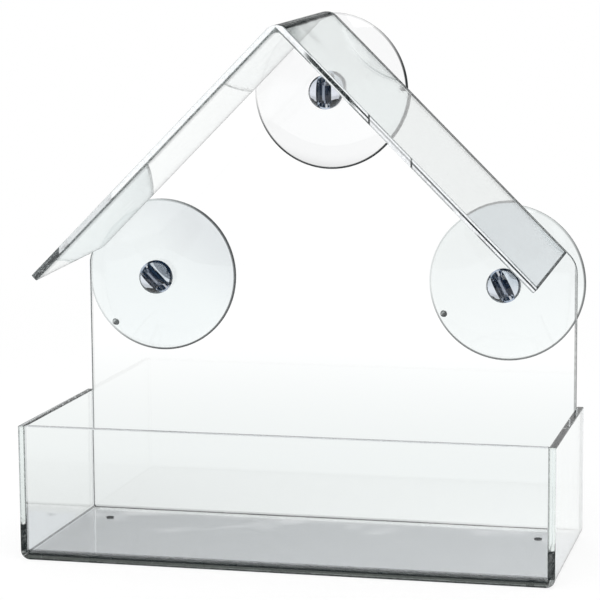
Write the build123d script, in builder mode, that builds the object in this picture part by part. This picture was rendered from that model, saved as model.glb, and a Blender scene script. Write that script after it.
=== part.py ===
from build123d import *
from math import cos, radians, sin, sqrt, tan
import os

# Window bird feeder: a small house of clear acrylic sheet that clings to a pane by three suction cups.
# Sizes are in millimetres. X runs along the tray, Y from the open front to the window, Z up.
# The origin is the middle of the tray's underside.

# Acrylic sheet, the same for all four sheet pieces, and the line of cement that joins them
sheet = 2.0
edge_round = 0.3
cement_line = 0.05
cut_overrun = 5.0

# Tray: floor and side walls bent from one sheet
tray_length = 150.0
tray_depth = 60.0
wall_height = 38.0
tray_inner_bend = 0.5
drain_diameter = 2.2
drain_from_side = 11.0
drain_from_back = 13.0

# Roof: one sheet bent along the ridge, whose front hangs a little lower than its back
ridge_height = 151.0
roof_half_span = 70.0
roof_slope = radians(45)
roof_inner_bend = 2.0
roof_fall = 2.5

# Back panel
shoulder_radius = 8.0

# Suction cups: hole places from the middle of the tray, and the turn of each cup about its neck
side_cup_spread = 52.0
side_cup_below_eaves = 9.8
top_cup_below_ridge = 23.1
left_cup_turn = radians(135)
top_cup_turn = radians(270)
right_cup_turn = radians(117)

# Suction cup moulding: dish, neck and domed head
dish_diameter = 45.5
dish_reach = 5.0
dish_boss_diameter = 13.0
dish_crown_thickness = 2.4
lip_thickness = 0.6
lip_land = 0.8
neck_diameter = 6.0
neck_clearance = 0.08
head_play = 0.2
head_diameter = 10.0
head_rim = 0.6
head_dome = 4.9
cross_hole_diameter = 3.6
cross_hole_lift = 2.7
pip_diameter = 2.0
pip_inset = 2.2

# Places that follow from the sizes above
half_length = tray_length / 2
tray_back = tray_depth / 2
panel_face = tray_back - sheet
panel_half = half_length - sheet - cement_line
panel_foot = sheet + cement_line
roof_outer_bend = roof_inner_bend + sheet
peak_height = ridge_height + roof_outer_bend * (1 / cos(roof_slope) - 1)
eave_height = peak_height - roof_half_span * tan(roof_slope)
shoulder_height = peak_height - panel_half * tan(roof_slope)
roof_back = panel_face - cement_line
roof_depth = roof_back + tray_back
back_plane = Plane.XZ.offset(-tray_back)
roof_plane = Plane.XZ.offset(-roof_back)
front_plane = Plane.XZ.offset(tray_back)
side_cup_height = eave_height - side_cup_below_eaves
top_cup_height = ridge_height - top_cup_below_ridge
cup_places = [
    (-side_cup_spread, side_cup_height),
    (0, top_cup_height),
    (side_cup_spread, side_cup_height),
]

os.makedirs("parts", exist_ok=True)


# Tray
with BuildPart() as tray:
    with BuildSketch(back_plane):
        with BuildLine() as tray_outside:
            Polyline(
                (-half_length, wall_height),
                (-half_length, 0),
                (half_length, 0),
                (half_length, wall_height),
            )
            fillet(tray_outside.vertices().group_by(Axis.Y)[0], tray_inner_bend + sheet)
            offset(amount=sheet, side=Side.LEFT)
        make_face()
    extrude(amount=tray_depth)
    drain_y = tray_back - drain_from_back
    drain_x = half_length - drain_from_side
    with BuildSketch(Plane.XY):
        with Locations((-drain_x, drain_y), (drain_x, drain_y)):
            Circle(drain_diameter / 2)
    extrude(amount=sheet, mode=Mode.SUBTRACT)
    tray_ends = tray.faces().filter_by(Axis.Y)
    wall_tops = tray.edges().filter_by(Axis.Y).group_by(Axis.Z)[-1]
    fillet(tray_ends.edges() + wall_tops, edge_round)

tray.part.label = "tray"
export_step(tray.part, "parts/tray.step")


# Front panel, standing on the tray's floor between its walls
with BuildPart() as front_panel:
    with BuildSketch(front_plane) as front_outline:
        with BuildLine():
            Polyline(
                (-panel_half, panel_foot),
                (panel_half, panel_foot),
                (panel_half, wall_height),
                (-panel_half, wall_height),
                close=True,
            )
        make_face()
        chamfer(front_outline.vertices().group_by(Axis.Y)[0], tray_inner_bend)
    extrude(amount=-sheet)
    fillet(front_panel.edges().filter_by(Axis.X).group_by(Axis.Z)[-1], edge_round)

front_panel.part.label = "front_panel"
export_step(front_panel.part, "parts/front_panel.step")


# Back panel: the house outline, standing on the tray's floor between its walls
with BuildPart() as back_panel:
    with BuildSketch(back_plane) as house:
        with BuildLine():
            Polyline(
                (-panel_half, panel_foot),
                (panel_half, panel_foot),
                (panel_half, shoulder_height),
                (0, peak_height),
                (-panel_half, shoulder_height),
                close=True,
            )
        make_face()
        fillet(house.vertices().group_by(Axis.Y)[1], shoulder_radius)
        fillet(house.vertices().group_by(Axis.Y)[-1], roof_outer_bend)
        chamfer(house.vertices().group_by(Axis.Y)[0], tray_inner_bend)
    extrude(amount=sheet)
    panel_bottom = back_panel.faces().sort_by(Axis.Z)[0]
    rims = back_panel.faces().filter_by(Axis.Y).edges()
    fillet(rims - panel_bottom.edges(), edge_round)
    with BuildSketch(back_plane):
        with Locations(*cup_places):
            Circle(neck_diameter / 2 + neck_clearance)
    extrude(amount=sheet, mode=Mode.SUBTRACT)

back_panel.part.label = "back_panel"
export_step(back_panel.part, "parts/back_panel.step")


# Roof: its profile at the back panel is carried forward and down
with BuildPart() as roof:
    with BuildSketch(roof_plane):
        with BuildLine() as roof_top:
            Polyline(
                (-roof_half_span, eave_height),
                (0, peak_height),
                (roof_half_span, eave_height),
            )
            fillet(roof_top.vertices().group_by(Axis.Y)[-1], roof_outer_bend)
            offset(amount=sheet, side=Side.RIGHT)
        make_face()
    roof_run = Vector(0, -roof_depth, -roof_fall)
    extrude(amount=roof_run.length, dir=roof_run)
    roof_ends = roof.faces().filter_by(Axis.Y)
    eaves = roof.faces().sort_by(Axis.X)[0], roof.faces().sort_by(Axis.X)[-1]
    eave_edges = [edge for eave in eaves for edge in eave.edges().filter_by(Axis((0, 0, 0), roof_run))]
    fillet(roof_ends.edges() + eave_edges, edge_round)

roof.part.label = "roof"
export_step(roof.part, "parts/roof.step")


def make_suction_cup(place, turn):
    """One soft moulding: a domed head with a cross hole, a neck, and a dish that flares back to its lip."""
    place_x, place_z = place
    cup = Plane(origin=(place_x, panel_face, place_z), x_dir=(cos(turn), 0, sin(turn)), z_dir=(0, -1, 0))
    half_section = Plane(origin=cup.origin, x_dir=cup.x_dir, z_dir=-cup.y_dir)
    dish_radius = dish_diameter / 2
    boss_level = -(sheet + head_play)
    lip_level = -(sheet + dish_reach)
    with BuildPart() as moulding:
        with BuildSketch(half_section):
            with BuildLine():
                inner = TangentArc(
                    (0, boss_level - dish_crown_thickness),
                    (dish_radius - lip_land, lip_level),
                    tangent=(1, 0),
                )
                outer = TangentArc(
                    (dish_boss_diameter / 2, boss_level),
                    (dish_radius, lip_level + lip_thickness),
                    tangent=(1, 0),
                )
                Polyline(inner @ 1, (dish_radius, lip_level), outer @ 1)
                dome = TangentArc(
                    (0, head_play + head_rim + head_dome),
                    (head_diameter / 2, head_play + head_rim),
                    tangent=(1, 0),
                )
                Polyline(
                    outer @ 0,
                    (neck_diameter / 2, boss_level),
                    (neck_diameter / 2, head_play),
                    (head_diameter / 2, head_play),
                    dome @ 1,
                )
                Line(dome @ 0, inner @ 0)
            make_face()
        revolve(axis=Axis(cup.origin, cup.z_dir))
        hole_centre = cup.origin + cup.z_dir * (head_play + cross_hole_lift)
        with BuildSketch(Plane(origin=hole_centre, x_dir=cup.y_dir, z_dir=cup.x_dir)):
            Circle(cross_hole_diameter / 2)
        extrude(amount=head_diameter / 2 + cut_overrun, both=True, mode=Mode.SUBTRACT)
        pip_place = dish_radius - pip_inset
        dish_fall = outer.radius - sqrt(outer.radius**2 - (pip_place - dish_boss_diameter / 2) ** 2)
        pip_centre = cup.from_local_coords(Vector(0, pip_place, boss_level - dish_fall))
        with Locations(Plane(origin=pip_centre, x_dir=cup.x_dir, z_dir=cup.z_dir)):
            Sphere(pip_diameter / 2)
    return moulding.part


suction_cup_left = make_suction_cup(cup_places[0], left_cup_turn)
suction_cup_left.label = "suction_cup_left"
export_step(suction_cup_left, "parts/suction_cup_left.step")

suction_cup_top = make_suction_cup(cup_places[1], top_cup_turn)
suction_cup_top.label = "suction_cup_top"
export_step(suction_cup_top, "parts/suction_cup_top.step")

suction_cup_right = make_suction_cup(cup_places[2], right_cup_turn)
suction_cup_right.label = "suction_cup_right"
export_step(suction_cup_right, "parts/suction_cup_right.step")
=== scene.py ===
import math

import bpy
from mathutils import Matrix, Vector


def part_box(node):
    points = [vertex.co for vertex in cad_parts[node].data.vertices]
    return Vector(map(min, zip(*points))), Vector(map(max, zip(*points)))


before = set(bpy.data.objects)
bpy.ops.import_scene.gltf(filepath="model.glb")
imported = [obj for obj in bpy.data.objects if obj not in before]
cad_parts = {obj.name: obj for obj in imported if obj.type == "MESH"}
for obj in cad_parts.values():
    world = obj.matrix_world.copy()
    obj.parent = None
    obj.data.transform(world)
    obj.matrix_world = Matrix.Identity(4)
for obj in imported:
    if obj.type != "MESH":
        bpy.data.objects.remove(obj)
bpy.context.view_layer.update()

# Window bird feeder of clear acrylic sheet with three soft PVC suction cups.
# Lengths are in metres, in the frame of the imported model: X along the tray, Y from the open front to the
# window, Z up, from the middle of the tray's underside. Left and right are as seen from the front.

# Camera, fitted to the outline of the tray, roof and cups
EYE = Vector((0.15380, -0.63261, 0.16299))
YAW = math.radians(13.78)
PITCH = math.radians(8.03)
ROLL = math.radians(-0.40)
SENSOR = 36.0
LENS = 140.62
CLIP_START = 0.01

# Clear plastic, the colour of its painted shade, the colour of its frosted ends and painted highlights,
# and the grey-green painted light in the core of the tray floor's ends
WHITE = (1.0, 1.0, 1.0)
ABSORB_DENSITY = 100.0
ACRYLIC_IOR = 1.49
ACRYLIC_ABSORB = (0.989, 0.994, 0.992)
ACRYLIC_SHADOW = (0.85, 0.86, 0.86)
ROOF_TINT = (0.965, 0.992, 0.985)
PAINTED_SHADE_COLOUR = (0.018, 0.023, 0.024)
FROST_AND_HIGHLIGHT_COLOUR = (0.93, 0.95, 0.97)
CORE_COLOUR = (0.60, 0.66, 0.60)
PVC_IOR = 1.53
PVC_ABSORB = (0.97, 0.975, 0.985)
PVC_SHADOW = (0.85, 0.86, 0.88)

# Noise on the acrylic, as scale and detail. Smears are patches of faint roughness, waves bend the view a
# little, and a fine noise makes the painted shade and pale marks on the ends uneven. A span of the noise
# becomes a span of roughness or of the strength of those marks.
SMEAR_NOISE = (35.0, 4.0)
SMEAR = (0.5, 0.75, 0.0, 0.012)
WAVE_NOISE = (60.0, 1.0)
WAVE_STRENGTH = 0.06
WAVE_HEIGHT = 0.0003
UNEVEN_MARK_NOISE = (900.0, 3.0)
UNEVEN_MARK_SPAN = (0.3, 0.7, 0.75, 1.15)

# How squarely a face looks along Y, from where it begins to count as an end of a sheet, a flat of a panel
# or a flat of the dish to where it is one, and the least X or Z of a normal that looks sideways or up
END_FACING = (0.3, 0.9)
PANEL_FACING = (0.6, 0.95)
DISH_FACING = (0.5, 0.8)
SQUARE_ON = 0.8

# How far the rim of a mark is blurred
EDGE_BLUR = 0.0001
SOFT_BLUR = 0.0002

# Sizes from the frame
TRAY_LOW, TRAY_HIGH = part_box("tray")
TRAY_SIDE = TRAY_HIGH.x
PANEL_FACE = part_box("back_panel")[0].y

# From here to the backdrop, a name that ends in CUT is the share of the light that a mark of painted shade
# swallows, in place of the dark that clear plastic shows at edges, bends and hollows, and one that ends in
# FROST is the share that a frosted end scatters.

# Tray: painted shade on the floor's ends, lighter in their core, which has a painted grey-green light,
# both weaker at the corners
FLOOR_TOP = 0.0022
FLOOR_CORE = (0.0005, 0.0013)
FLOOR_LINE_CUT = 0.86
FLOOR_CORE_CUT = 0.5
FLOOR_CORE_PAINTED_LIGHT = 0.2
CORNER_FROM = TRAY_SIDE - 0.0022
CORNER_KEEP = 0.15

# Tray: painted shade on the walls' feet, the painted line inside their ends, by its strength on the left
# and on the right, and the left wall's painted outer line, which is stronger above
WALL_FOOT = (0.0024, 0.0100)
WALL_FOOT_CUT = 0.85
WALL_LINE = (TRAY_SIDE - 0.0017, TRAY_SIDE - 0.0015)
WALL_LINE_CUT = (0.7, 0.5)
OUTER_WALL = (TRAY_SIDE - 0.0006, TRAY_SIDE - 0.0004)
OUTER_WALL_FRONT = TRAY_LOW.y + 0.0005
OUTER_WALL_HEIGHT = (0.022, 0.033)
OUTER_WALL_CUT = (0.25, 0.5)

# Tray: painted shade on the walls' tops, in the bends' insides by side and height, and inside the drains
# by side, place and radius
WALL_TOP = (TRAY_HIGH.z - 0.0006, TRAY_HIGH.z - 0.0002)
TRAY_TOP_CUT = 0.15
INNER_BEND = ((TRAY_SIDE - 0.0024, TRAY_SIDE - 0.0019), (0.0020, 0.0024))
TRAY_BEND_CUT = 0.6
DRAIN = (0.064, 0.017, 0.00115)

# Back panel: painted shade on its edges, with the strength of the left one's painted shade and painted
# highlight inside and above the tray and the strength of the right one, a painted shade border at its
# sides, and painted shade along the joint at its foot, which fades to the right
BACK_PANEL_CUT = 0.5
BACK_LEFT = (0.0, 0.4)
BACK_RIGHT = 1.2
BACK_LEFT_PAINTED_HIGHLIGHT = (0.65, 0.6)
BACK_BORDER = 0.0724
BACK_BORDER_CUT = 0.3
BACK_FOOT = 0.0026
BACK_FOOT_CUT = 0.22
BACK_FOOT_FADE = (0.020, 0.055, 1.0, 0.3)

# Front panel: painted shade on its edges, its frosted top, and painted shade along the joint at its foot
FRONT_PANEL_CUT = 0.18
FRONT_TOP_FROST = 0.6
FRONT_FOOT = 0.0027
FRONT_FOOT_CUT = 0.45

# Roof, front end: the height where its upper faces would meet, and depths below them for its lines, border
# and core of painted shade
FRONT_PEAK = 0.150157
LINE_DEPTH = (0.0013, 0.0016)
BORDER_DEPTH = (0.00015, 0.00035)
CORE_DEPTH = (0.0005, 0.0014)
OUTER_DEPTH = (0.0015, 0.0017)
INNER_DEPTH = (0.00065, 0.00100)
ROOF_FRONT_CUT = 0.04
ROOF_LINE_CUT = 0.75
ROOF_BORDER_CUT = 0.2
ROOF_CORE_CUT = 0.95
ROOF_FROST = 0.95

# Roof, front end: distances from the middle, of the painted dark tip and the stretch above it, dimmed
# by painted shade, on the left, and of the painted dark core and specks on the right
TIP_FROM = 0.0618
ROOF_TIP_CUT = 0.75
LOW_FROM = 0.0465
ROOF_LOW_CUT = 0.2
CORE_SPAN = (0.0092, 0.0198)
CORE_BLUR = 0.002
SPECKS = (0.0250, 0.0363)
SPECK_REACH = 0.0002

# Roof, front end: strength of the three dark lines of painted shade along its right side, by
# distance from the middle. The outer line is at the underside, the inner one inside the sheet and the upper
# one at the upper face.
OUTER_LINE = (
    (0.0092, 0.75), (0.0095, 0.2), (0.0195, 0.2), (0.0200, 0.75), (0.0250, 0.75), (0.0253, 0.3),
    (0.0300, 0.3), (0.0304, 0.0), (0.0360, 0.0), (0.0364, 0.45), (0.0470, 0.45), (0.0480, 0.1),
    (0.0530, 0.1), (0.0545, 0.75), (0.0600, 0.75), (0.0620, 0.5), (0.0700, 0.5),
)
INNER_LINE = (
    (0.0195, 0.0), (0.0200, 0.85), (0.0250, 0.85), (0.0253, 0.3), (0.0360, 0.3), (0.0366, 0.6),
    (0.0480, 0.6), (0.0520, 0.9), (0.0700, 0.9),
)
UPPER_LINE = (
    (0.0092, 0.6), (0.0100, 0.2), (0.0250, 0.2), (0.0253, 0.5), (0.0360, 0.5), (0.0366, 0.2),
    (0.0620, 0.2), (0.0635, 0.6),
)

# Roof: painted shade on the end at the window, on the ridge seen from low down, and in the right slope's
# back and eave lines
ROOF_BACK_CUT = 0.85
RIDGE_HALF = 0.0028
RIDGE_BLUR = 0.0004
RIDGE_GRAZING = (0.5, 0.68)
ROOF_RIDGE_CUT = 0.72
BACK_LINE_FROM = PANEL_FACE - 0.001
ROOF_BACK_LINE_CUT = 0.7
EAVE_LINE_FROM = 0.0695
ROOF_EAVE_LINE_CUT = 0.85

# Roof: painted shade on the left slope where other sheets are seen through it, on its underside near the
# front, and on all outer faces seen at a grazing angle
DEEP_SPAN = (0.048, 0.062)
ROOF_DEEP_CUT = (0.25, 0.12)
UNDER_LINE = (TRAY_LOW.y, TRAY_LOW.y + 0.007)
ROOF_UNDER_CUT = 0.45
GRAZING = (0.84, 0.88)
ROOF_GRAZING_CUT = 0.06

# Suction cup's head: the centre of its dome, the reach of its hole's inside, which is painted dark
# as shade, and its streaks of painted highlight and its painted shades across the hole, each by its two
# ends in hole radii and its strength
DOME_RISE = 0.0007
HOLE_INSIDE = 0.0046
HOLE_RADIUS = 0.0018
HOLE_CUT = 0.85
HOLE_STREAKS = ((-0.58, -0.46, 0.12), (0.05, 0.30, 1.0))
HEAD_SHADES = ((1.0, 1.25, 1.0), (1.75, 3.0, 0.8))
STREAK_BLUR = 0.1
HEAD_TINT = (0.58, 0.63, 0.73)
HOLE_SHADE_NAVY = (0.018, 0.034, 0.060)
PAINTED_STREAK_COLOUR = (0.95, 0.97, 1.0)

# Suction cup's dish: painted shade on its lip, darkest on one side, on its steep sides and on its pip, and
# a painted shade on the dish that grows towards the upper right. Deep is how many times light has gone into
# or out of plastic.
RIM_FROM = 0.0221
RIM_BLUR = 0.00015
RIM_SPREAD = 0.0003
RIM_LEAST = 0.1
RIM_LIGHT = (-0.45, 0.3)
RIM_DEEP_CUT = 0.9
STEEP_CUT = 0.85
PIP_PLACE = 0.02055
PIP_RADIUS = 0.00105
PIP_LEAN = (-0.0005, 0.0001)
PIP_CUT = 0.85
DISH_SHADE_COLOUR = (0.78, 0.81, 0.83)
DISH_SHADE = (0.002, 0.022)
SHADE_TOWARDS = (0.7, 0.7)
DEEP = (3.4, 3.6)

# Each cup: its turn in degrees, the side of its hole that the painted pale streak is on, the dish's tint,
# darker on the left and right cups by painted shade, how much the painted shade darkens the dish, its
# painted shade tint where other sheets lie over it, the direction of its darkest painted rim in degrees and
# how dark that is, and how strong the painted shades on its head are
CUPS = {
    "suction_cup_left": {
        "turn": 135, "streak_side": 1, "tint": (0.905, 0.945, 0.945), "shading": 0.8,
        "deep_shade_tint": (0.84, 0.87, 0.89), "rim_towards": -20, "rim_cut": 0.75, "head_shade": 0.8,
    },
    "suction_cup_top": {
        "turn": 270, "streak_side": -1, "tint": (1.0, 1.0, 1.0), "shading": 0.1,
        "deep_shade_tint": (0.95, 0.98, 0.98), "rim_towards": -60, "rim_cut": 0.92, "head_shade": 0.0,
    },
    "suction_cup_right": {
        "turn": 117, "streak_side": 1, "tint": (0.91, 0.94, 0.935), "shading": 0.1,
        "deep_shade_tint": (0.71, 0.76, 0.80), "rim_towards": -60, "rim_cut": 0.55, "head_shade": 0.0,
    },
}

# Backdrop: its upper edge as rise over run at places from left to right, seen from the feeder. It dims a
# little with height, it is dark above the edge, and mirrors see the side in front of the feeder dim.
WORLD_LIGHT = 0.6
BACKDROP_TOPS = ((-0.12, 0.243), (-0.02, 0.300), (0.10, 0.290), (0.155, 0.222), (0.19, 0.205))
BACKDROP_BLUR = 0.004
BACKDROP_FADE = (0.03, 0.12)
BACKDROP_UPPER = 0.75
BACKDROP_FRONT = (0.0, -0.2)
DARK_LEVEL = 0.02
FRONT_LEVEL = 0.15

# Floor: its reach, its colour where the camera sees it and where it lights the feeder, its glow, and the
# distances from the feeder over which it turns to plain white. Mirrors see it darker in front.
FLOOR_REACH = 30.0
FLOOR_GAP = 0.0003
FLOOR_LIT = (0.25, 0.25, 0.25)
FLOOR_PLAIN = (0.8, 0.8, 0.8)
FLOOR_GLOW = 0.78
FLOOR_WHITE = (0.25, 0.6)
FLOOR_FRONT = (-0.1, -0.35)

# Floor as clear plastic sees it: its level, dimmed near the feeder by a painted shadow and brightened to
# the right by painted light, its tints, and a painted bright strip under the back panel
FLOOR_BEHIND = (0.05, 0.45, 0.90, 1.05)
FLOOR_SIDEWAYS = (-TRAY_SIDE, TRAY_SIDE, 0.90, 1.08)
FLOOR_CLOSE = (0.03, 0.12)
FLOOR_TINT = (0.965, 1.0, 0.992)
FLOOR_TINT_FADE = (0.12, 0.40)
UNDER_TINT = (0.955, 1.0, 1.025)
UNDER_BACK = (0.026, 0.031)
FLOOR_STRIP = (PANEL_FACE, PANEL_FACE + 0.0035)
FLOOR_STRIP_BLUR = 0.0007
FLOOR_STRIP_SIDES = (-0.0715, 0.0715)
FLOOR_STRIP_VIEW = (0.6, 0.75)
FLOOR_STRIP_GAIN = 0.45

# Lamps: place, target, size and power
KEY_LAMP = ((0.3, -0.5, 1.4), (0, 0, 0.05), 1.0, 8.0)
FILL_LAMP = ((-0.5, -1.5, 0.5), (0, 0, 0.1), 1.2, 11.0)

# How often light may bounce, in all and of one kind
MOST_BOUNCES = 32
MOST_OF_A_KIND = 24


def clear_nodes(owner, output_kind="ShaderNodeOutputMaterial"):
    """The node tree of a fresh material or world, empty but for its output."""
    owner.use_nodes = True
    tree = owner.node_tree
    tree.nodes.clear()
    return tree, tree.nodes.new(output_kind)


def add_node(tree, kind, **values):
    """A node with its properties, and its inputs where a value names one, set at once."""
    node = tree.nodes.new(kind)
    for key, value in values.items():
        if key in node.inputs:
            node.inputs[key].default_value = value
        else:
            setattr(node, key, value)
    return node


def calculate(tree, operation, *values):
    """A math node fed with sockets or plain numbers."""
    node = add_node(tree, "ShaderNodeMath", operation=operation)
    for socket, value in zip(node.inputs, values):
        if isinstance(value, (int, float)):
            socket.default_value = value
        else:
            tree.links.new(value, socket)
    return node.outputs[0]


def product(tree, first, *others):
    """All the values multiplied."""
    for other in others:
        first = calculate(tree, "MULTIPLY", first, other)
    return first


def largest(tree, first, *others):
    """The largest of the values."""
    for other in others:
        first = calculate(tree, "MAXIMUM", first, other)
    return first


def invert(tree, value):
    """What a share leaves."""
    return calculate(tree, "SUBTRACT", 1.0, value)


def choose(tree, share, first, second):
    """The first value by its share, and the second by what that leaves."""
    return calculate(tree, "ADD", product(tree, share, first), product(tree, invert(tree, share), second))


def only_where(tree, flag, factor):
    """A factor where the flag is one, which goes over to no change where it is zero."""
    return calculate(tree, "POWER", factor, flag)


def map_range(tree, value, start, end, low=0.0, high=1.0, blend="LINEAR"):
    """A value carried from one range to another and held at its ends."""
    node = add_node(tree, "ShaderNodeMapRange", interpolation_type=blend)
    for key, number in (("From Min", start), ("From Max", end), ("To Min", low), ("To Max", high)):
        node.inputs[key].default_value = number
    tree.links.new(value, node.inputs["Value"])
    return node.outputs["Result"]


def beyond(tree, value, start, strength=1.0, blur=EDGE_BLUR):
    """Zero up to shortly before a start, and the strength beyond it."""
    return map_range(tree, value, start - blur, start, 0.0, strength)


def window(tree, value, low, high, blur=EDGE_BLUR):
    """One where a value lies between two ends, zero beyond them."""
    falling = map_range(tree, value, high, high + blur, 1.0, 0.0)
    return product(tree, beyond(tree, value, low, 1.0, blur), falling)


def follow(tree, value, stops):
    """A height that runs straight from stop to stop along a value."""
    height = stops[0][1]
    for (start, low), (end, high) in zip(stops, stops[1:]):
        height = calculate(tree, "ADD", height, map_range(tree, value, start, end, 0.0, high - low))
    return height


def length(tree, first, second):
    """The length of the slant over two sides at a right angle."""
    first = calculate(tree, "MULTIPLY", first, first)
    return calculate(tree, "SQRT", calculate(tree, "MULTIPLY_ADD", second, second, first))


def along_way(tree, across, above, way_x, way_z):
    """How far a place lies along a way that has an X and a Z part."""
    return calculate(tree, "MULTIPLY_ADD", above, way_z, product(tree, across, way_x))


def coordinates(tree, kind="Object"):
    """A point's place, which on a piece is the one at rest. In the world it is the way that a ray goes."""
    return add_node(tree, "ShaderNodeTexCoord").outputs[kind]


def split(tree, vector):
    """The X, Y and Z of a vector."""
    node = add_node(tree, "ShaderNodeSeparateXYZ")
    tree.links.new(vector, node.inputs[0])
    return node.outputs


def face_normal(tree):
    """The way that a point's face looks, without the smoothing over edges."""
    return add_node(tree, "ShaderNodeNewGeometry").outputs["True Normal"]


def squareness(tree):
    """How squarely a point's face looks along Y, from 0 to 1."""
    return calculate(tree, "ABSOLUTE", split(tree, face_normal(tree))["Y"])


def seen_from_inside(tree):
    """One where a face is seen from inside the plastic."""
    return add_node(tree, "ShaderNodeNewGeometry").outputs["Backfacing"]


def slant_of_view(tree):
    """Zero for a face seen squarely, up to one for a face seen along its surface."""
    return add_node(tree, "ShaderNodeLayerWeight").outputs["Facing"]


def light_path(tree):
    """What kind of ray sees the point, and what it has been through."""
    return add_node(tree, "ShaderNodeLightPath").outputs


def sees_background(tree):
    """One for rays from the camera, a mirror or clear plastic, and zero for lighting."""
    path = light_path(tree)
    return largest(tree, path["Is Camera Ray"], path["Is Glossy Ray"], path["Is Transmission Ray"])


def noise(tree, scale, detail):
    """Cloudy noise that stays where it is on its piece."""
    node = add_node(tree, "ShaderNodeTexNoise", Scale=scale, Detail=detail)
    tree.links.new(coordinates(tree), node.inputs["Vector"])
    return node.outputs["Fac"]


def mix_colour(tree, factor, low, high):
    """The low colour, which goes over to the high one as the factor grows to one."""
    node = add_node(tree, "ShaderNodeMix", data_type="RGBA")
    for socket, colour in ((node.inputs[6], low), (node.inputs[7], high)):
        if isinstance(colour, tuple):
            socket.default_value = (*colour, 1)
        else:
            tree.links.new(colour, socket)
    tree.links.new(factor, node.inputs[0])
    return node.outputs[2]


def mix_shader(tree, factor, low, high):
    """The low shader, which goes over to the high one as the factor grows to one."""
    node = add_node(tree, "ShaderNodeMixShader")
    for socket, value in zip(node.inputs, (factor, low, high)):
        tree.links.new(value, socket)
    return node.outputs[0]


def clear_body(tree, ior):
    """The polished body of a clear plastic."""
    body = add_node(tree, "ShaderNodeBsdfPrincipled", IOR=ior, Roughness=0.0)
    body.inputs["Transmission Weight"].default_value = 1.0
    return body


def finish_clear(tree, output, surface, shadow_tint, absorb_tint):
    """Clear plastic lets lamps through, and takes a little of the light on the way."""
    passing = add_node(tree, "ShaderNodeBsdfTransparent", Color=(*shadow_tint, 1))
    whole = mix_shader(tree, light_path(tree)["Is Shadow Ray"], surface, passing.outputs[0])
    tree.links.new(whole, output.inputs["Surface"])
    absorb = add_node(tree, "ShaderNodeVolumeAbsorption", Color=(*absorb_tint, 1), Density=ABSORB_DENSITY)
    tree.links.new(absorb.outputs["Volume"], output.inputs["Volume"])


def make_acrylic(name, find_edges, tint=WHITE, pale_colour=FROST_AND_HIGHLIGHT_COLOUR):
    """Acrylic sheet: polished faces, painted shade that swallows a share of the light, and frosted ends and
    painted highlights that scatter it.
    """
    material = bpy.data.materials.new(name)
    tree, output = clear_nodes(material)
    link = tree.links.new
    body = clear_body(tree, ACRYLIC_IOR)
    body.inputs["Base Color"].default_value = (*tint, 1)
    link(map_range(tree, noise(tree, *SMEAR_NOISE), *SMEAR), body.inputs["Roughness"])
    bump = add_node(tree, "ShaderNodeBump", Strength=WAVE_STRENGTH, Distance=WAVE_HEIGHT)
    link(noise(tree, *WAVE_NOISE), bump.inputs["Height"])
    link(bump.outputs["Normal"], body.inputs["Normal"])
    # The near-black diffuse is painted shade. The pale one is frosted ends, and painted light on the back
    # panel's left edge and in the tray floor's core.
    painted_shading = add_node(tree, "ShaderNodeBsdfDiffuse", Color=(*PAINTED_SHADE_COLOUR, 1))
    pale_mark = add_node(tree, "ShaderNodeBsdfDiffuse", Color=(*pale_colour, 1))
    for end in (painted_shading, pale_mark):
        link(face_normal(tree), end.inputs["Normal"])
    dark, pale = find_edges(tree)
    unevenness = map_range(tree, noise(tree, *UNEVEN_MARK_NOISE), *UNEVEN_MARK_SPAN)
    surface = mix_shader(tree, product(tree, pale, unevenness), body.outputs[0], pale_mark.outputs[0])
    surface = mix_shader(tree, product(tree, dark, unevenness), surface, painted_shading.outputs[0])
    finish_clear(tree, output, surface, ACRYLIC_SHADOW, ACRYLIC_ABSORB)
    return material


def panel_foot(tree, edges, place, foot_top, foot_cut, fade=1.0):
    """The painted shade on a panel's edges above its foot, and below that the painted shade along the joint,
    where it is the darker of the two.
    """
    low = map_range(tree, place["Z"], foot_top, foot_top + EDGE_BLUR, 1.0, 0.0)
    foot = product(tree, largest(tree, edges, product(tree, low, foot_cut)), fade)
    return choose(tree, low, foot, edges)


def find_front_edges(tree):
    """The front panel: painted shade on its edges, a frosted top, and painted shade along the joint at its
    foot.
    """
    place = split(tree, coordinates(tree))
    edges = map_range(tree, squareness(tree), *PANEL_FACING, FRONT_PANEL_CUT, 0.0)
    upper = calculate(tree, "GREATER_THAN", split(tree, face_normal(tree))["Z"], SQUARE_ON)
    dark = panel_foot(tree, edges, place, FRONT_FOOT, FRONT_FOOT_CUT)
    return dark, product(tree, upper, FRONT_TOP_FROST)


def find_back_edges(tree):
    """The back panel: painted shade on its edges, a painted highlight on the left one, a painted shade
    border at its sides and painted shade along the joint at its foot.
    """
    place = split(tree, coordinates(tree))
    left = calculate(tree, "LESS_THAN", place["X"], 0.0)
    left_gain = map_range(tree, place["Z"], *WALL_TOP, *BACK_LEFT)
    gain = choose(tree, left, left_gain, BACK_RIGHT)
    sideways = calculate(tree, "ABSOLUTE", split(tree, face_normal(tree))["X"])
    upright = calculate(tree, "GREATER_THAN", sideways, SQUARE_ON)
    edges = map_range(tree, squareness(tree), *PANEL_FACING, BACK_PANEL_CUT, 0.0)
    edges = product(tree, edges, only_where(tree, upright, gain))
    fade = map_range(tree, place["X"], *BACK_FOOT_FADE)
    edges = panel_foot(tree, edges, place, BACK_FOOT, BACK_FOOT_CUT, fade)
    border = beyond(tree, calculate(tree, "ABSOLUTE", place["X"]), BACK_BORDER, BACK_BORDER_CUT)
    pale = product(tree, left, upright, map_range(tree, place["Z"], *WALL_TOP, *BACK_LEFT_PAINTED_HIGHLIGHT))
    return largest(tree, edges, product(tree, border, gain)), pale


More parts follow.
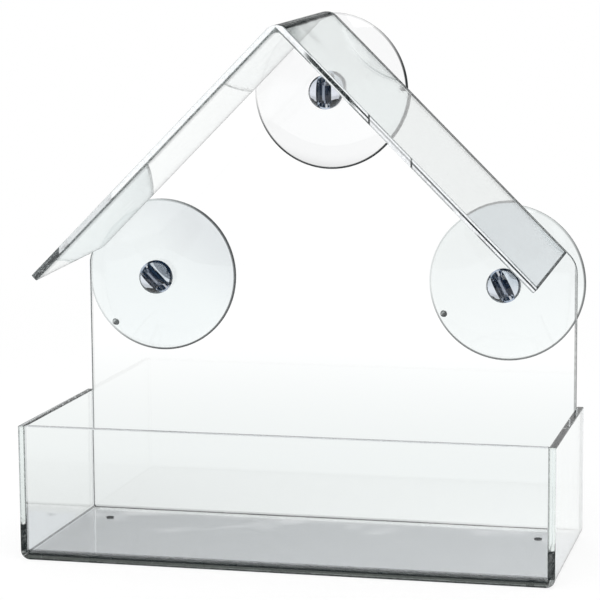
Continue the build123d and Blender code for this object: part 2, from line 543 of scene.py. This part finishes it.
def find_floor_ends(tree, side, height, front):
    """Which part of the tray's ends is the floor's, how dark the painted shade on that and on the feet is,
    and the share of painted grey-green light in the core.
    """
    low = map_range(tree, height, FLOOR_TOP - EDGE_BLUR, FLOOR_TOP + EDGE_BLUR, 1.0, 0.0)
    core = window(tree, height, *FLOOR_CORE)
    floor = map_range(tree, core, 0.0, 1.0, FLOOR_LINE_CUT, FLOOR_CORE_CUT)
    corner = map_range(tree, side, CORNER_FROM - EDGE_BLUR, CORNER_FROM, 1.0, CORNER_KEEP)
    foot = product(tree, window(tree, height, *WALL_FOOT), front, WALL_FOOT_CUT)
    pale_mark = product(tree, core, front, corner, FLOOR_CORE_PAINTED_LIGHT)
    return low, largest(tree, product(tree, low, floor, corner), foot), pale_mark


def find_drains(tree, side, place):
    """One inside the tray's two drains, which get painted shade."""
    drain_side, drain_place, drain_radius = DRAIN
    aside = calculate(tree, "SUBTRACT", side, drain_side)
    behind = calculate(tree, "SUBTRACT", place["Y"], drain_place)
    return calculate(tree, "LESS_THAN", length(tree, aside, behind), drain_radius)


def find_tray_edges(tree):
    """The tray: painted shade on its ends and feet, in lines along the walls, and in the bends and drains of
    the floor, and the painted light in the core of the floor's ends.
    """
    place = split(tree, coordinates(tree))
    side = calculate(tree, "ABSOLUTE", place["X"])
    left = calculate(tree, "LESS_THAN", place["X"], 0.0)
    front = calculate(tree, "LESS_THAN", place["Y"], 0.0)
    end = map_range(tree, squareness(tree), *END_FACING)
    low, floor_ends, pale_mark = find_floor_ends(tree, side, place["Z"], front)
    strength = map_range(tree, left, 1.0, 0.0, *WALL_LINE_CUT)
    line = product(tree, invert(tree, low), invert(tree, seen_from_inside(tree)), strength)
    line = product(tree, line, map_range(tree, side, *WALL_LINE, 1.0, 0.0))
    ends = product(tree, end, largest(tree, floor_ends, line))
    top = map_range(tree, place["Z"], *WALL_TOP, 0.0, TRAY_TOP_CUT)
    at_front = calculate(tree, "LESS_THAN", place["Y"], OUTER_WALL_FRONT)
    outer_cut = map_range(tree, place["Z"], *OUTER_WALL_HEIGHT, *OUTER_WALL_CUT)
    outer = product(tree, left, at_front, map_range(tree, side, *OUTER_WALL), outer_cut)
    bend_side, bend_height = INNER_BEND
    bend = product(tree, window(tree, side, *bend_side), window(tree, place["Z"], *bend_height))
    bend = product(tree, bend, invert(tree, end), TRAY_BEND_CUT)
    dark = largest(tree, ends, top, outer, bend, find_drains(tree, side, place))
    return dark, product(tree, end, pale_mark)


def find_roof_front(tree, side, right, depth):
    """The roof's front end: painted shade in dark lines that change along it, a dark core, a tip and specks.
    """
    left = invert(tree, right)
    line = map_range(tree, depth, *LINE_DEPTH, ROOF_FRONT_CUT, ROOF_LINE_CUT)
    border = map_range(tree, depth, *BORDER_DEPTH, 1.0, 0.0)
    left_lines = largest(tree, line, product(tree, border, ROOF_BORDER_CUT))
    outer = product(tree, map_range(tree, depth, *OUTER_DEPTH), follow(tree, side, OUTER_LINE))
    inner = product(tree, window(tree, depth, *INNER_DEPTH), follow(tree, side, INNER_LINE))
    upper = product(tree, border, follow(tree, side, UPPER_LINE))
    right_lines = largest(tree, outer, inner, upper, ROOF_FRONT_CUT)
    lines = choose(tree, right, right_lines, left_lines)
    span = product(tree, right, window(tree, side, *CORE_SPAN, CORE_BLUR))
    core = product(tree, window(tree, depth, *CORE_DEPTH), span, ROOF_CORE_CUT)
    tip = product(tree, left, beyond(tree, side, TIP_FROM, ROOF_TIP_CUT, SOFT_BLUR))
    low = product(tree, left, beyond(tree, side, LOW_FROM, ROOF_LOW_CUT, SOFT_BLUR))
    specks = [window(tree, side, speck - SPECK_REACH, speck + SPECK_REACH) for speck in SPECKS]
    specks = product(tree, right, largest(tree, *specks), ROOF_LINE_CUT)
    return largest(tree, lines, core, tip, low, specks)


def find_roof_faces(tree, place, side, right, front_end):
    """The roof's outer faces: painted shade on the ridge, the right slope's rims and parts of the left
    slope.
    """
    left = invert(tree, right)
    slant = slant_of_view(tree)
    upward = split(tree, face_normal(tree))["Z"]
    bend = map_range(tree, side, RIDGE_HALF - RIDGE_BLUR, RIDGE_HALF, ROOF_RIDGE_CUT, 0.0)
    above = calculate(tree, "GREATER_THAN", upward, 0.0)
    ridge = product(tree, bend, map_range(tree, slant, *RIDGE_GRAZING), above, invert(tree, front_end))
    back_line = beyond(tree, place["Y"], BACK_LINE_FROM, ROOF_BACK_LINE_CUT)
    eave_line = beyond(tree, side, EAVE_LINE_FROM, ROOF_EAVE_LINE_CUT)
    rims = product(tree, right, largest(tree, back_line, eave_line))
    through = map_range(tree, light_path(tree)["Transmission Depth"], 0.0, 1.0)
    deep = product(tree, left, through, map_range(tree, side, *DEEP_SPAN, *ROOF_DEEP_CUT))
    below = calculate(tree, "LESS_THAN", upward, 0.0)
    under = product(tree, left, below, map_range(tree, place["Y"], *UNDER_LINE, ROOF_UNDER_CUT, 0.0))
    grazing = map_range(tree, slant, *GRAZING, 0.0, ROOF_GRAZING_CUT)
    return largest(tree, ridge, rims, deep, under, grazing)


def find_roof_edges(tree):
    """The roof: the end at the window is painted dark, and the front end is frosted pale between lines of
    painted shade.
    """
    place = split(tree, coordinates(tree))
    inside = seen_from_inside(tree)
    side = calculate(tree, "ABSOLUTE", place["X"])
    right = calculate(tree, "GREATER_THAN", place["X"], 0.0)
    at_back = calculate(tree, "GREATER_THAN", place["Y"], 0.0)
    end = map_range(tree, squareness(tree), *END_FACING)
    front_end = product(tree, end, invert(tree, at_back))
    under = calculate(tree, "SUBTRACT", FRONT_PEAK, calculate(tree, "ADD", side, place["Z"]))
    front = find_roof_front(tree, side, right, product(tree, under, math.sqrt(0.5)))
    back = map_range(tree, inside, 0.0, 1.0, ROOF_BACK_CUT, ROOF_FRONT_CUT)
    ends = product(tree, end, choose(tree, at_back, back, front))
    outer_faces = find_roof_faces(tree, place, side, right, front_end)
    dark = largest(tree, ends, product(tree, invert(tree, inside), outer_faces))
    return dark, product(tree, front_end, invert(tree, front), ROOF_FROST)


def strongest(tree, value, bands):
    """The strongest of some bands, each by its two ends and its strength, that a value lies in."""
    strengths = [product(tree, window(tree, value, low, high, STREAK_BLUR), cut) for low, high, cut in bands]
    return largest(tree, *strengths)


def find_head_marks(tree, place, across, above, pip_way, cup):
    """A cup's head: painted shade in its dark hole and on one side, and pale streaks of painted highlight in
    the hole.
    """
    radius = length(tree, across, above)
    ahead = calculate(tree, "SUBTRACT", place["Y"], PANEL_FACE - DOME_RISE)
    reach = length(tree, radius, ahead)
    hole = map_range(tree, reach, HOLE_INSIDE - SOFT_BLUR, HOLE_INSIDE, HOLE_CUT, 0.0)
    way_x, way_z = [-part * cup["streak_side"] for part in pip_way]
    over = calculate(tree, "DIVIDE", along_way(tree, across, above, way_x, way_z), HOLE_RADIUS)
    shades = product(tree, strongest(tree, over, HEAD_SHADES), cup["head_shade"])
    return largest(tree, hole, shades), strongest(tree, over, HOLE_STREAKS)


def find_dish_marks(tree, across, above, deep, pip_way, cup):
    """A cup's dish: painted shade on a lip that is darkest on one side, on steep sides, and on the dark side
    of its pip.
    """
    radius = length(tree, across, above)
    rim_way = math.radians(cup["rim_towards"])
    toward = along_way(tree, across, above, math.cos(rim_way), math.sin(rim_way))
    lean = calculate(tree, "DIVIDE", toward, radius)
    lean_cut = map_range(tree, lean, *RIM_LIGHT, RIM_LEAST, cup["rim_cut"])
    rim_reach = calculate(tree, "ADD", radius, product(tree, deep, lean_cut, RIM_SPREAD))
    rim = map_range(tree, rim_reach, RIM_FROM, RIM_FROM + RIM_BLUR)
    rim = product(tree, rim, largest(tree, lean_cut, product(tree, deep, RIM_DEEP_CUT)))
    steep = map_range(tree, squareness(tree), *DISH_FACING, STEEP_CUT, 0.0)
    pip_across = calculate(tree, "SUBTRACT", across, pip_way[0] * PIP_PLACE)
    pip_above = calculate(tree, "SUBTRACT", above, pip_way[1] * PIP_PLACE)
    pip = calculate(tree, "LESS_THAN", length(tree, pip_across, pip_above), PIP_RADIUS)
    pip_lean = calculate(tree, "SUBTRACT", pip_across, pip_above)
    pip = product(tree, pip, map_range(tree, pip_lean, *PIP_LEAN, 0.0, PIP_CUT))
    return largest(tree, rim, steep, pip)


def make_pvc(name, axis, cup):
    """Soft clear PVC: a blue head with painted shade in its hole and streaks of painted highlight, a thin
    dish with painted shade, and painted shade on its lip and pip.
    """
    material = bpy.data.materials.new(name)
    tree, output = clear_nodes(material)
    link = tree.links.new
    body = clear_body(tree, PVC_IOR)
    painted_shading = add_node(tree, "ShaderNodeBsdfDiffuse")
    turn = math.radians(cup["turn"])
    pip_way = (-math.sin(turn), math.cos(turn))
    place = split(tree, coordinates(tree))
    across = calculate(tree, "SUBTRACT", place["X"], axis.x)
    above = calculate(tree, "SUBTRACT", place["Z"], axis.z)
    dish = beyond(tree, place["Y"], PANEL_FACE, 1.0, SOFT_BLUR)
    deep = map_range(tree, light_path(tree)["Transmission Depth"], *DEEP)
    head_marks, streaks = find_head_marks(tree, place, across, above, pip_way, cup)
    dish_marks = find_dish_marks(tree, across, above, deep, pip_way, cup)
    # Painted shade darkens the dish towards the upper right and where other sheets lie over it. The hole
    # gets painted shade and streaks of painted highlight.
    lit = along_way(tree, across, above, *SHADE_TOWARDS)
    shade = product(tree, map_range(tree, lit, *DISH_SHADE, blend="SMOOTHSTEP"), cup["shading"])
    dish_colour = mix_colour(tree, shade, cup["tint"], DISH_SHADE_COLOUR)
    dish_colour = mix_colour(tree, deep, dish_colour, cup["deep_shade_tint"])
    link(mix_colour(tree, dish, HEAD_TINT, dish_colour), body.inputs["Base Color"])
    hole_shade_and_highlight = mix_colour(tree, streaks, HOLE_SHADE_NAVY, PAINTED_STREAK_COLOUR)
    link(mix_colour(tree, dish, hole_shade_and_highlight, PAINTED_SHADE_COLOUR), painted_shading.inputs["Color"])
    dark = largest(tree, product(tree, dish, dish_marks), product(tree, invert(tree, dish), head_marks))
    surface = mix_shader(tree, dark, body.outputs[0], painted_shading.outputs[0])
    finish_clear(tree, output, surface, PVC_SHADOW, PVC_ABSORB)
    return material


def make_world():
    """A white backdrop with dark above it, which makes the edges and slopes of clear sheet read."""
    world = bpy.data.worlds.new("studio")
    bpy.context.scene.world = world
    tree, output = clear_nodes(world, "ShaderNodeOutputWorld")
    light = add_node(tree, "ShaderNodeBackground", Color=(*WHITE, 1), Strength=WORLD_LIGHT)
    white = add_node(tree, "ShaderNodeBackground", Color=(*WHITE, 1), Strength=1.0)
    seen = add_node(tree, "ShaderNodeBackground", Strength=1.0)
    way = split(tree, coordinates(tree, "Generated"))
    run = largest(tree, calculate(tree, "ABSOLUTE", way["X"]), calculate(tree, "ABSOLUTE", way["Y"]))
    rise = calculate(tree, "DIVIDE", way["Z"], run)
    top = follow(tree, calculate(tree, "DIVIDE", way["X"], run), BACKDROP_TOPS)
    over = calculate(tree, "SUBTRACT", rise, top)
    edge = map_range(tree, over, -BACKDROP_BLUR, BACKDROP_BLUR, 1.0, 0.0)
    fade = map_range(tree, rise, *BACKDROP_FADE, 1.0, BACKDROP_UPPER, "SMOOTHSTEP")
    front = map_range(tree, way["Y"], *BACKDROP_FRONT, 1.0, FRONT_LEVEL)
    mirrored = only_where(tree, light_path(tree)["Is Glossy Ray"], front)
    level = largest(tree, product(tree, fade, edge, mirrored), DARK_LEVEL)
    tree.links.new(level, seen.inputs["Color"])
    studio = mix_shader(tree, sees_background(tree), light.outputs[0], seen.outputs[0])
    whole = mix_shader(tree, light_path(tree)["Is Camera Ray"], studio, white.outputs[0])
    tree.links.new(whole, output.inputs["Surface"])


def floor_as_seen(tree, place):
    """The floor for the camera and mirrors: it keeps shadows near the feeder and is plain white far away."""
    lit = add_node(tree, "ShaderNodeBsdfDiffuse", Color=(*FLOOR_LIT, 1))
    glow = add_node(tree, "ShaderNodeEmission", Color=(*WHITE, 1), Strength=FLOOR_GLOW)
    near = add_node(tree, "ShaderNodeAddShader")
    tree.links.new(lit.outputs[0], near.inputs[0])
    tree.links.new(glow.outputs[0], near.inputs[1])
    front = map_range(tree, place["Y"], *FLOOR_FRONT, 1.0, FRONT_LEVEL, "SMOOTHSTEP")
    far = add_node(tree, "ShaderNodeEmission", Color=(*WHITE, 1))
    mirrored = only_where(tree, light_path(tree)["Is Glossy Ray"], front)
    tree.links.new(mirrored, far.inputs["Strength"])
    distance = add_node(tree, "ShaderNodeVectorMath", operation="LENGTH")
    tree.links.new(coordinates(tree), distance.inputs[0])
    fade = map_range(tree, distance.outputs["Value"], *FLOOR_WHITE, blend="SMOOTHSTEP")
    return mix_shader(tree, fade, near.outputs[0], far.outputs[0])


def floor_through_plastic(tree, place):
    """The floor for clear plastic: tinted, with painted shadow near the feeder, painted light to the right,
    and a painted bright strip under the back panel.
    """
    behind = map_range(tree, place["Y"], *FLOOR_BEHIND, "SMOOTHSTEP")
    sideways = map_range(tree, place["X"], *FLOOR_SIDEWAYS)
    close = map_range(tree, place["Y"], *FLOOR_CLOSE, 1.0, 0.0)
    level = product(tree, behind, only_where(tree, close, sideways))
    strip = window(tree, place["Y"], *FLOOR_STRIP, FLOOR_STRIP_BLUR)
    strip = product(tree, strip, window(tree, place["X"], *FLOOR_STRIP_SIDES))
    strip = product(tree, strip, map_range(tree, slant_of_view(tree), *FLOOR_STRIP_VIEW))
    gain = calculate(tree, "MULTIPLY_ADD", strip, FLOOR_STRIP_GAIN, 1.0)
    under = map_range(tree, place["Y"], *UNDER_BACK, 1.0, 0.0)
    tint = mix_colour(tree, under, FLOOR_TINT, UNDER_TINT)
    untinted = map_range(tree, place["Y"], *FLOOR_TINT_FADE)
    glow = add_node(tree, "ShaderNodeEmission")
    tree.links.new(mix_colour(tree, untinted, tint, WHITE), glow.inputs["Color"])
    tree.links.new(product(tree, level, gain), glow.inputs["Strength"])
    return glow.outputs[0]


def make_floor():
    """A wide pale floor, whose glow only the camera, mirrors and clear plastic see."""
    corners = ((-1, -1), (1, -1), (1, 1), (-1, 1))
    mesh = bpy.data.meshes.new("floor")
    points = [(x * FLOOR_REACH, y * FLOOR_REACH, -FLOOR_GAP) for x, y in corners]
    mesh.from_pydata(points, [], [(0, 1, 2, 3)])
    floor = bpy.data.objects.new("floor", mesh)
    bpy.context.scene.collection.objects.link(floor)
    material = bpy.data.materials.new("floor")
    tree, output = clear_nodes(material)
    place = split(tree, coordinates(tree))
    plain = add_node(tree, "ShaderNodeBsdfDiffuse", Color=(*FLOOR_PLAIN, 1))
    through = light_path(tree)["Is Transmission Ray"]
    seen = mix_shader(tree, through, floor_as_seen(tree, place), floor_through_plastic(tree, place))
    whole = mix_shader(tree, sees_background(tree), plain.outputs[0], seen)
    tree.links.new(whole, output.inputs["Surface"])
    mesh.materials.append(material)


def add_area(name, place, target, size, power):
    """A square lamp at a place, turned to a target."""
    lamp = bpy.data.lights.new(name, "AREA")
    lamp.shape = "SQUARE"
    lamp.size = size
    lamp.energy = power
    holder = bpy.data.objects.new(name, lamp)
    bpy.context.scene.collection.objects.link(holder)
    holder.location = place
    holder.rotation_euler = (Vector(target) - Vector(place)).to_track_quat("-Z", "Y").to_euler()
    return holder


def add_camera():
    """The camera at the photograph's place, turned by yaw, pitch and roll."""
    right = Vector((math.cos(YAW), math.sin(YAW), 0))
    ahead = Vector((-math.sin(YAW), math.cos(YAW), 0))
    forward = ahead * math.cos(PITCH) - Vector((0, 0, math.sin(PITCH)))
    up = right.cross(forward)
    right_rolled = right * math.cos(ROLL) + up * math.sin(ROLL)
    up_rolled = up * math.cos(ROLL) - right * math.sin(ROLL)
    data = bpy.data.cameras.new("camera")
    data.sensor_width = SENSOR
    data.lens = LENS
    data.clip_start = CLIP_START
    camera = bpy.data.objects.new("camera", data)
    bpy.context.scene.collection.objects.link(camera)
    turn = Matrix((right_rolled, up_rolled, -forward)).transposed().to_4x4()
    camera.matrix_world = Matrix.Translation(EYE) @ turn
    bpy.context.scene.camera = camera


sheets = {
    "tray": make_acrylic("tray_acrylic", find_tray_edges, pale_colour=CORE_COLOUR),
    "roof": make_acrylic("roof_acrylic", find_roof_edges, ROOF_TINT),
    "back_panel": make_acrylic("back_acrylic", find_back_edges),
    "front_panel": make_acrylic("front_acrylic", find_front_edges),
}
for name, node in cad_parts.items():
    if name in sheets:
        node.data.materials[0] = sheets[name]
    else:
        low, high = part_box(name)
        node.data.materials[0] = make_pvc(name + "_pvc", (low + high) / 2, CUPS[name])

make_world()
make_floor()
add_area("key", *KEY_LAMP)
fill = add_area("fill", *FILL_LAMP)
fill.visible_glossy = False
fill.visible_transmission = False
add_camera()

scene = bpy.context.scene
scene.view_settings.view_transform = "Standard"
scene.cycles.max_bounces = MOST_BOUNCES
scene.cycles.glossy_bounces = MOST_OF_A_KIND
scene.cycles.transmission_bounces = MOST_OF_A_KIND
scene.cycles.transparent_max_bounces = MOST_OF_A_KIND
